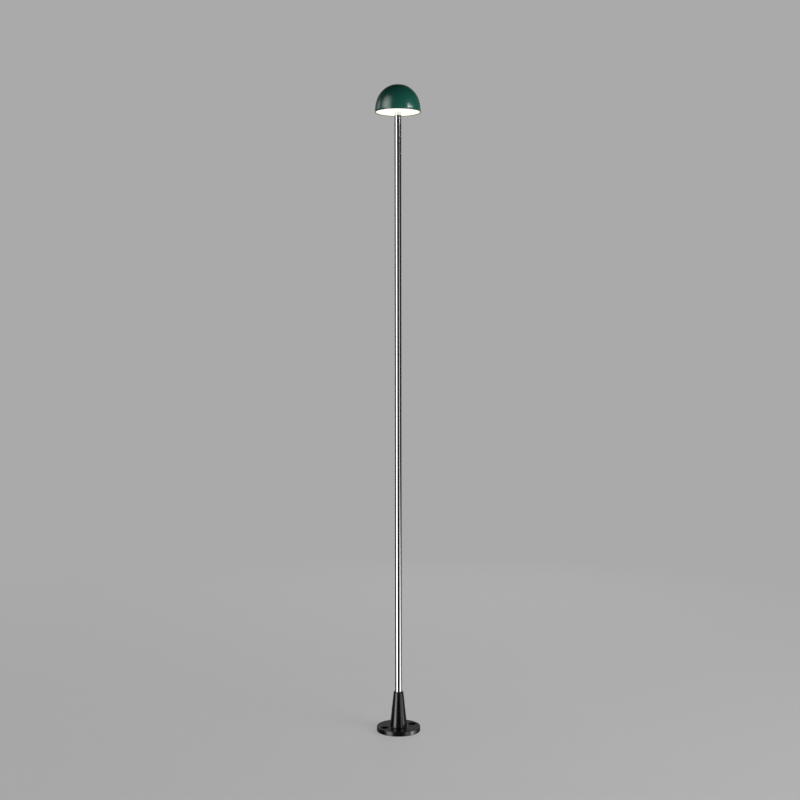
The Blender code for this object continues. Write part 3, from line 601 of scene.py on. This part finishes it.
# ---------------------------------------------------------------- base
def base():
    """Cast flange and cone with soft edges, two anchor holes and two set-screw holes."""
    pocket, pocket_floor = 10.1 * MM, BASE_TOP - 3.3 * MM
    socket_floor = 24.0 * MM
    neck, neck_bottom = 5.0 * MM, 21.0 * MM
    inlet, inlet_bottom = 8.0 * MM, 12.0 * MM
    recess = 15.0 * MM
    corners = [
        (recess, 0.0, 0.4 * MM),
        (FLANGE_RADIUS, 0.0, 0.7 * MM),
        (FLANGE_RADIUS, FLANGE_TOP, 0.9 * MM),
        (CONE_FOOT, FLANGE_TOP, 1.6 * MM),
        (CONE_TOP, BASE_TOP, 0.5 * MM),
        (pocket, BASE_TOP, 0.2 * MM),
        (pocket, pocket_floor),
        (SOCKET_RADIUS, pocket_floor),
        (SOCKET_RADIUS, socket_floor),
        (neck, socket_floor),
        (neck, neck_bottom),
        (inlet, neck_bottom),
        (inlet, inlet_bottom),
        (recess, inlet_bottom),
    ]
    piece = link("base", lathe_mesh("base", outline(corners, 5), 160))
    hole, seat, seat_z = 4.5 * MM, 9.0 * MM, 5.0 * MM
    edge, past, flare = 0.3 * MM, 1.0 * MM, 1.3 * MM
    steps = [
        (hole + flare, -past), (hole, edge), (hole, seat_z - edge), (hole + edge, seat_z),
        (seat, seat_z), (seat, FLANGE_TOP - edge), (seat + flare, FLANGE_TOP + past),
    ]
    for degrees in ANCHOR_ANGLES:
        cut(piece, peg_mesh(steps, 48), on_circle(ANCHOR_CIRCLE, degrees))
    bore, flare = 2.7 * MM, 2.0 * MM
    steps = [(bore, 6.0 * MM), (bore, 16.2 * MM), (bore + flare, 16.2 * MM + flare)]
    for degrees in SET_SCREW_ANGLES:
        lean = Euler((0.0, math.pi / 2.0, math.radians(degrees))).to_matrix().to_4x4()
        cut(piece, peg_mesh(steps, 32), Matrix.Translation((0.0, 0.0, SET_SCREW_Z)) @ lean)
    weigh_normals(piece)
    dress(piece, "base", "black_powder_coat", "base_casting")


def mouth_seal():
    """Rubber ring in the mouth of the cone, with a groove between two soft lips."""
    outer = seal_high.x
    middle = (SOCKET_RADIUS + outer) / 2.0
    groove = 0.35 * MM
    corners = [
        (SOCKET_RADIUS, seal_low.z, 0.2 * MM),
        (outer, seal_low.z, 0.2 * MM),
        (outer, seal_high.z, 0.35 * MM),
        (middle, seal_high.z - groove),
        (SOCKET_RADIUS, seal_high.z, 0.3 * MM),
    ]
    piece = link("mouth_seal", lathe_mesh("mouth_seal", outline(corners), 96))
    dress(piece, "base", "black_rubber", "socket_seal")


# ---------------------------------------------------------------- LEDs
def led_chips():
    """Each LED: a white package with a round lit window."""
    width = 3.0 * MM
    depth = 0.8 * MM
    window = 1.15 * MM
    lens = [Vector((0.0, 0.05 * MM)), Vector((window, 0.05 * MM)), Vector((window, -0.36 * MM)),
            Vector((window * 0.7, -0.395 * MM)), Vector((0.0, -0.4 * MM))]
    package_look = led_package()
    for index in range(LED_COUNT):
        node = f"led_chip_{index + 1:02d}"
        low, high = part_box(node)
        middle = (low + high) / 2.0
        turn = Matrix.Rotation(TURN * (index + 0.5) / LED_COUNT, 4, "Z")
        shape = bmesh.new()
        bmesh.ops.create_cube(shape, size=1.0, matrix=Matrix.Diagonal((width, width, depth, 1.0)))
        bmesh.ops.bevel(shape, geom=shape.edges[:], offset=0.12 * MM, segments=2, affect="EDGES")
        shape.transform(Matrix.Translation(middle) @ turn)
        package = link(f"led_package_{index + 1:02d}", finish_mesh("led_package", shape))
        dress(package, "column", "led_phosphor", node, material=package_look)
        window_mesh = lathe_mesh("led_window", lens, 24, closed=False)
        window_mesh.transform(Matrix.Translation(middle + Vector((0.0, 0.0, -0.02 * MM))))
        glow = link(f"led_window_{index + 1:02d}", window_mesh)
        dress(glow, "column", "led_phosphor")


# ---------------------------------------------------------------- pieces that keep their CAD shape
def soften(node, width):
    """A fine bevel on a CAD node's edges."""
    weld = node.modifiers.new("weld", "WELD")
    weld.merge_threshold = 0.005 * MM
    bevel = node.modifiers.new("edges", "BEVEL")
    bevel.width = width
    bevel.segments = 2
    bevel.limit_method = "ANGLE"
    bevel.angle_limit = math.radians(40.0)
    weigh_normals(node)


def carried_nodes(replaced):
    """Materials and small bevels, with widths in millimetres, on every CAD node that stays in view."""
    slots = {part["node"]: part["material_slot"] for part in frame["record"]["subparts"]}
    soft_edges = {
        "driver_case": 0.5, "driver_lid": 0.4, "driver_terminal_in": 0.4, "driver_terminal_out": 0.4,
        "driver_transformer": 0.6, "driver_board": 0.15, "led_board": 0.12, "heat_sink_tray": 0.15,
        "flat_washer": 0.15, "lock_washer": 0.12, "nipple_nut": 0.12, "hollow_nipple": 0.15,
        "nipple_grommet": 0.12, "top_insert": 0.15, "inlet_body": 0.25, "earth_tag": 0.12,
        "driver_capacitor": 0.4, "lower_grommet": 0.2, "diffuser_gasket": 0.15,
    }
    for name, node in frame["nodes"].items():
        if name in replaced:
            continue
        node.data.materials.clear()
        node.data.materials.append(LOOKS[slots[name]])
        shade(node.data, 35.0)
        width = soft_edges.get(name, 0.08 if "screw" in name else 0.0)
        if width > 0.0:
            soften(node, width * MM)


# ---------------------------------------------------------------- stage, lights and camera
CAMERA_HEIGHT = 0.919
CAMERA_DISTANCE = 2.963
CAMERA_RIGHT = 0.0042
CAMERA_TILT = 2.758  # degrees down
CAMERA_ROLL = -0.06  # degrees
CAMERA_LENS = 57.537  # millimetres, on a sensor 36 mm wide
LIGHT_DISTANCE = 3.2  # from the mast's axis
FLOOR_RADIUS = 120.0
FLOOR_FADE = (0.5, 2.4)  # from the axis: where the floor starts and ends its fade into the backdrop
FLOOR_GLOW = 0.3
AMBIENT = 0.035  # the world as soft light
BACKDROP = 0.40  # how bright the far floor and the air behind it look
WHITE = (1.0, 1.0, 1.0, 1.0)


def stage_floor():
    """Wide plain pale floor that takes soft shadows near the light and fades into the backdrop."""
    look = Look("floor", (0.5, 0.5, 0.5), 0.9)
    look.set("Specular IOR Level", 0.0)
    cloud = look.noise(0.6, 2.0)
    look.color(look.blend(look.spread(cloud, 0.0, 1.0), (0.49, 0.49, 0.49), (0.51, 0.51, 0.51)))
    look.set("Emission Color", WHITE).set("Emission Strength", FLOOR_GLOW)
    far = look.tree.nodes.new("ShaderNodeEmission")
    far.inputs["Strength"].default_value = BACKDROP
    mix = look.tree.nodes.new("ShaderNodeMixShader")
    look.join(look.spread(look.radius(), 0.0, 1.0, *FLOOR_FADE), mix.inputs["Fac"])
    look.join(look.shader.outputs["BSDF"], mix.inputs[1])
    look.join(far.outputs["Emission"], mix.inputs[2])
    look.join(mix.outputs["Shader"], look.tree.nodes["Material Output"].inputs["Surface"])
    shape = bmesh.new()
    bmesh.ops.create_circle(shape, cap_ends=True, segments=96, radius=FLOOR_RADIUS)
    mesh = bpy.data.meshes.new("floor")
    shape.to_mesh(mesh)
    shape.free()
    floor = link("floor", mesh)
    floor.location.z = cad_low.z - 0.1 * MM
    mesh.materials.append(look.material)
    floor.visible_glossy = False


def softbox(name, azimuth, width, bottom, top, radiance, fades, glossy=True, diffuse=False):
    """An upright soft light that faces the mast; azimuth 0 is on the camera's side, + to the right.

    The fades are the parts of its width and height over which its left, right, lower and upper
    edges fade out, as seen from the mast.
    """
    data = bpy.data.lights.new(name, "AREA")
    data.shape = "RECTANGLE"
    data.size = width
    data.size_y = top - bottom
    data.energy = radiance * math.pi * width * (top - bottom)
    data.use_nodes = True
    tree = data.node_tree
    place = split(tree, tree.nodes.new("ShaderNodeNewGeometry").outputs["Parametric"])
    left, right, lower, upper = fades
    level = 1.0
    for axis, start, end in (("X", 0.0, left), ("X", 1.0, 1.0 - right),
                             ("Y", 0.0, lower), ("Y", 1.0, 1.0 - upper)):
        edge = mapped(tree, place[axis], start, end, 0.0, 1.0, smooth=True)
        level = computed(tree, "MULTIPLY", level, edge)
    tree.links.new(level, tree.nodes["Emission"].inputs["Strength"])
    light = link(name, data)
    angle = math.radians(azimuth)
    spot = Vector((math.sin(angle), -math.cos(angle), 0.0)) * LIGHT_DISTANCE
    spot.z = (bottom + top) / 2.0
    light.location = spot
    light.rotation_euler = Vector((-spot.x, -spot.y, 0.0)).to_track_quat("-Z", "Y").to_euler()
    light.visible_camera = False
    light.visible_glossy = glossy
    light.visible_diffuse = diffuse


def world():
    """Plain grey studio: pale to the eye, weak as soft light, and in reflections darkest in front."""
    scene_world = bpy.data.worlds.new("studio")
    bpy.context.scene.world = scene_world
    scene_world.use_nodes = True
    tree = scene_world.node_tree
    plain = tree.nodes["Background"]
    plain.inputs["Color"].default_value = WHITE
    plain.inputs["Strength"].default_value = AMBIENT
    seen = tree.nodes.new("ShaderNodeBackground")
    seen.inputs["Color"].default_value = WHITE
    seen.inputs["Strength"].default_value = BACKDROP
    mirror = tree.nodes.new("ShaderNodeBackground")
    mirror.inputs["Color"].default_value = (0.8, 0.8, 0.8, 1.0)
    way = split(tree, tree.nodes.new("ShaderNodeTexCoord").outputs["Generated"])
    behind = mapped(tree, way["Y"], 0.1, 0.95, 0.012, 0.2)
    overhead = mapped(tree, way["Z"], 0.3, 0.75, 1.0, 0.1)
    underfoot = mapped(tree, way["Z"], -0.5, -0.8, 0.0, 0.3)
    level = computed(tree, "MAXIMUM", computed(tree, "MULTIPLY", behind, overhead), underfoot)
    tree.links.new(level, mirror.inputs["Strength"])
    path = tree.nodes.new("ShaderNodeLightPath")
    shader = plain.outputs["Background"]
    for ray, other in (("Is Glossy Ray", mirror), ("Is Camera Ray", seen)):
        mix = tree.nodes.new("ShaderNodeMixShader")
        tree.links.new(path.outputs[ray], mix.inputs["Fac"])
        tree.links.new(shader, mix.inputs[1])
        tree.links.new(other.outputs["Background"], mix.inputs[2])
        shader = mix.outputs["Shader"]
    tree.links.new(shader, tree.nodes["World Output"].inputs["Surface"])


def studio():
    """Lights that show in reflections where the real ones do, and three that only light."""
    stage_floor()
    world()
    softbox("key_low", -51.0, 2.3, -2.0, 2.02, 3.7, (0.3, 0.35, 0.45, 0.02))
    softbox("key_high", -61.0, 4.6, 2.02, 5.6, 3.6, (0.5, 0.5, 0.02, 0.98))
    softbox("edge_left", -112.0, 2.0, 2.02, 3.4, 1.2, (0.4, 0.5, 0.02, 0.9))
    softbox("low_left", -36.0, 1.6, -1.6, 0.3, 0.8, (0.3, 0.5, 0.05, 0.7))
    softbox("side_right", 45.0, 1.3, -1.5, 2.6, 1.2, (0.3, 0.3, 0.05, 0.5))
    softbox("low_right", 77.0, 0.9, -1.5, 0.4, 4.2, (0.2, 0.2, 0.05, 0.7))
    softbox("floor_right", 82.0, 4.4, -1.8, -0.8, 1.9, (0.45, 0.4, 0.05, 0.25))
    softbox("top_right", 58.0, 1.2, 2.02, 2.95, 6.0, (0.2, 0.6, 0.05, 0.7))
    softbox("top_right_low", 67.0, 2.3, 2.02, 2.5, 6.0, (0.12, 0.5, 0.05, 0.5))
    softbox("back_left", -168.0, 1.0, 0.0, 3.4, 0.5, (0.2, 0.2, 0.1, 0.1))
    softbox("back_right", 166.0, 0.8, 0.0, 3.4, 0.7, (0.2, 0.2, 0.1, 0.1))
    softbox("soft_right", 56.0, 2.4, 0.0, 1.9, 4.2, (0.1, 0.1, 0.1, 0.1), glossy=False, diffuse=True)
    softbox("soft_left", -60.0, 1.6, 0.0, 2.0, 0.6, (0.1, 0.1, 0.1, 0.1), glossy=False, diffuse=True)
    softbox("soft_back", 170.0, 2.4, 0.4, 2.6, 1.8, (0.1, 0.1, 0.1, 0.1), glossy=False, diffuse=True)


def camera():
    """A level camera in front of the mast, tilted down a little."""
    data = bpy.data.cameras.new("camera")
    data.lens = CAMERA_LENS
    data.sensor_width = 36.0
    data.clip_end = 400.0
    view = link("camera", data)
    view.location = (CAMERA_RIGHT, -CAMERA_DISTANCE, CAMERA_HEIGHT)
    level = Euler((math.radians(90.0 - CAMERA_TILT), 0.0, 0.0)).to_quaternion()
    view.rotation_mode = "QUATERNION"
    view.rotation_quaternion = level @ Quaternion((0.0, 0.0, 1.0), math.radians(CAMERA_ROLL))
    bpy.context.scene.camera = view
    bpy.context.scene.view_settings.view_transform = "Standard"


# ---------------------------------------------------------------- the whole picture
camera()
studio()
dome_shell()
diffuser()
pole_seal()
mast()
base()
mouth_seal()
led_chips()
carried_nodes({"dome_shell", "diffuser_cover", "pole_seal", "column_tube", "base_casting", "socket_seal",
               *(f"led_chip_{index + 1:02d}" for index in range(LED_COUNT))})
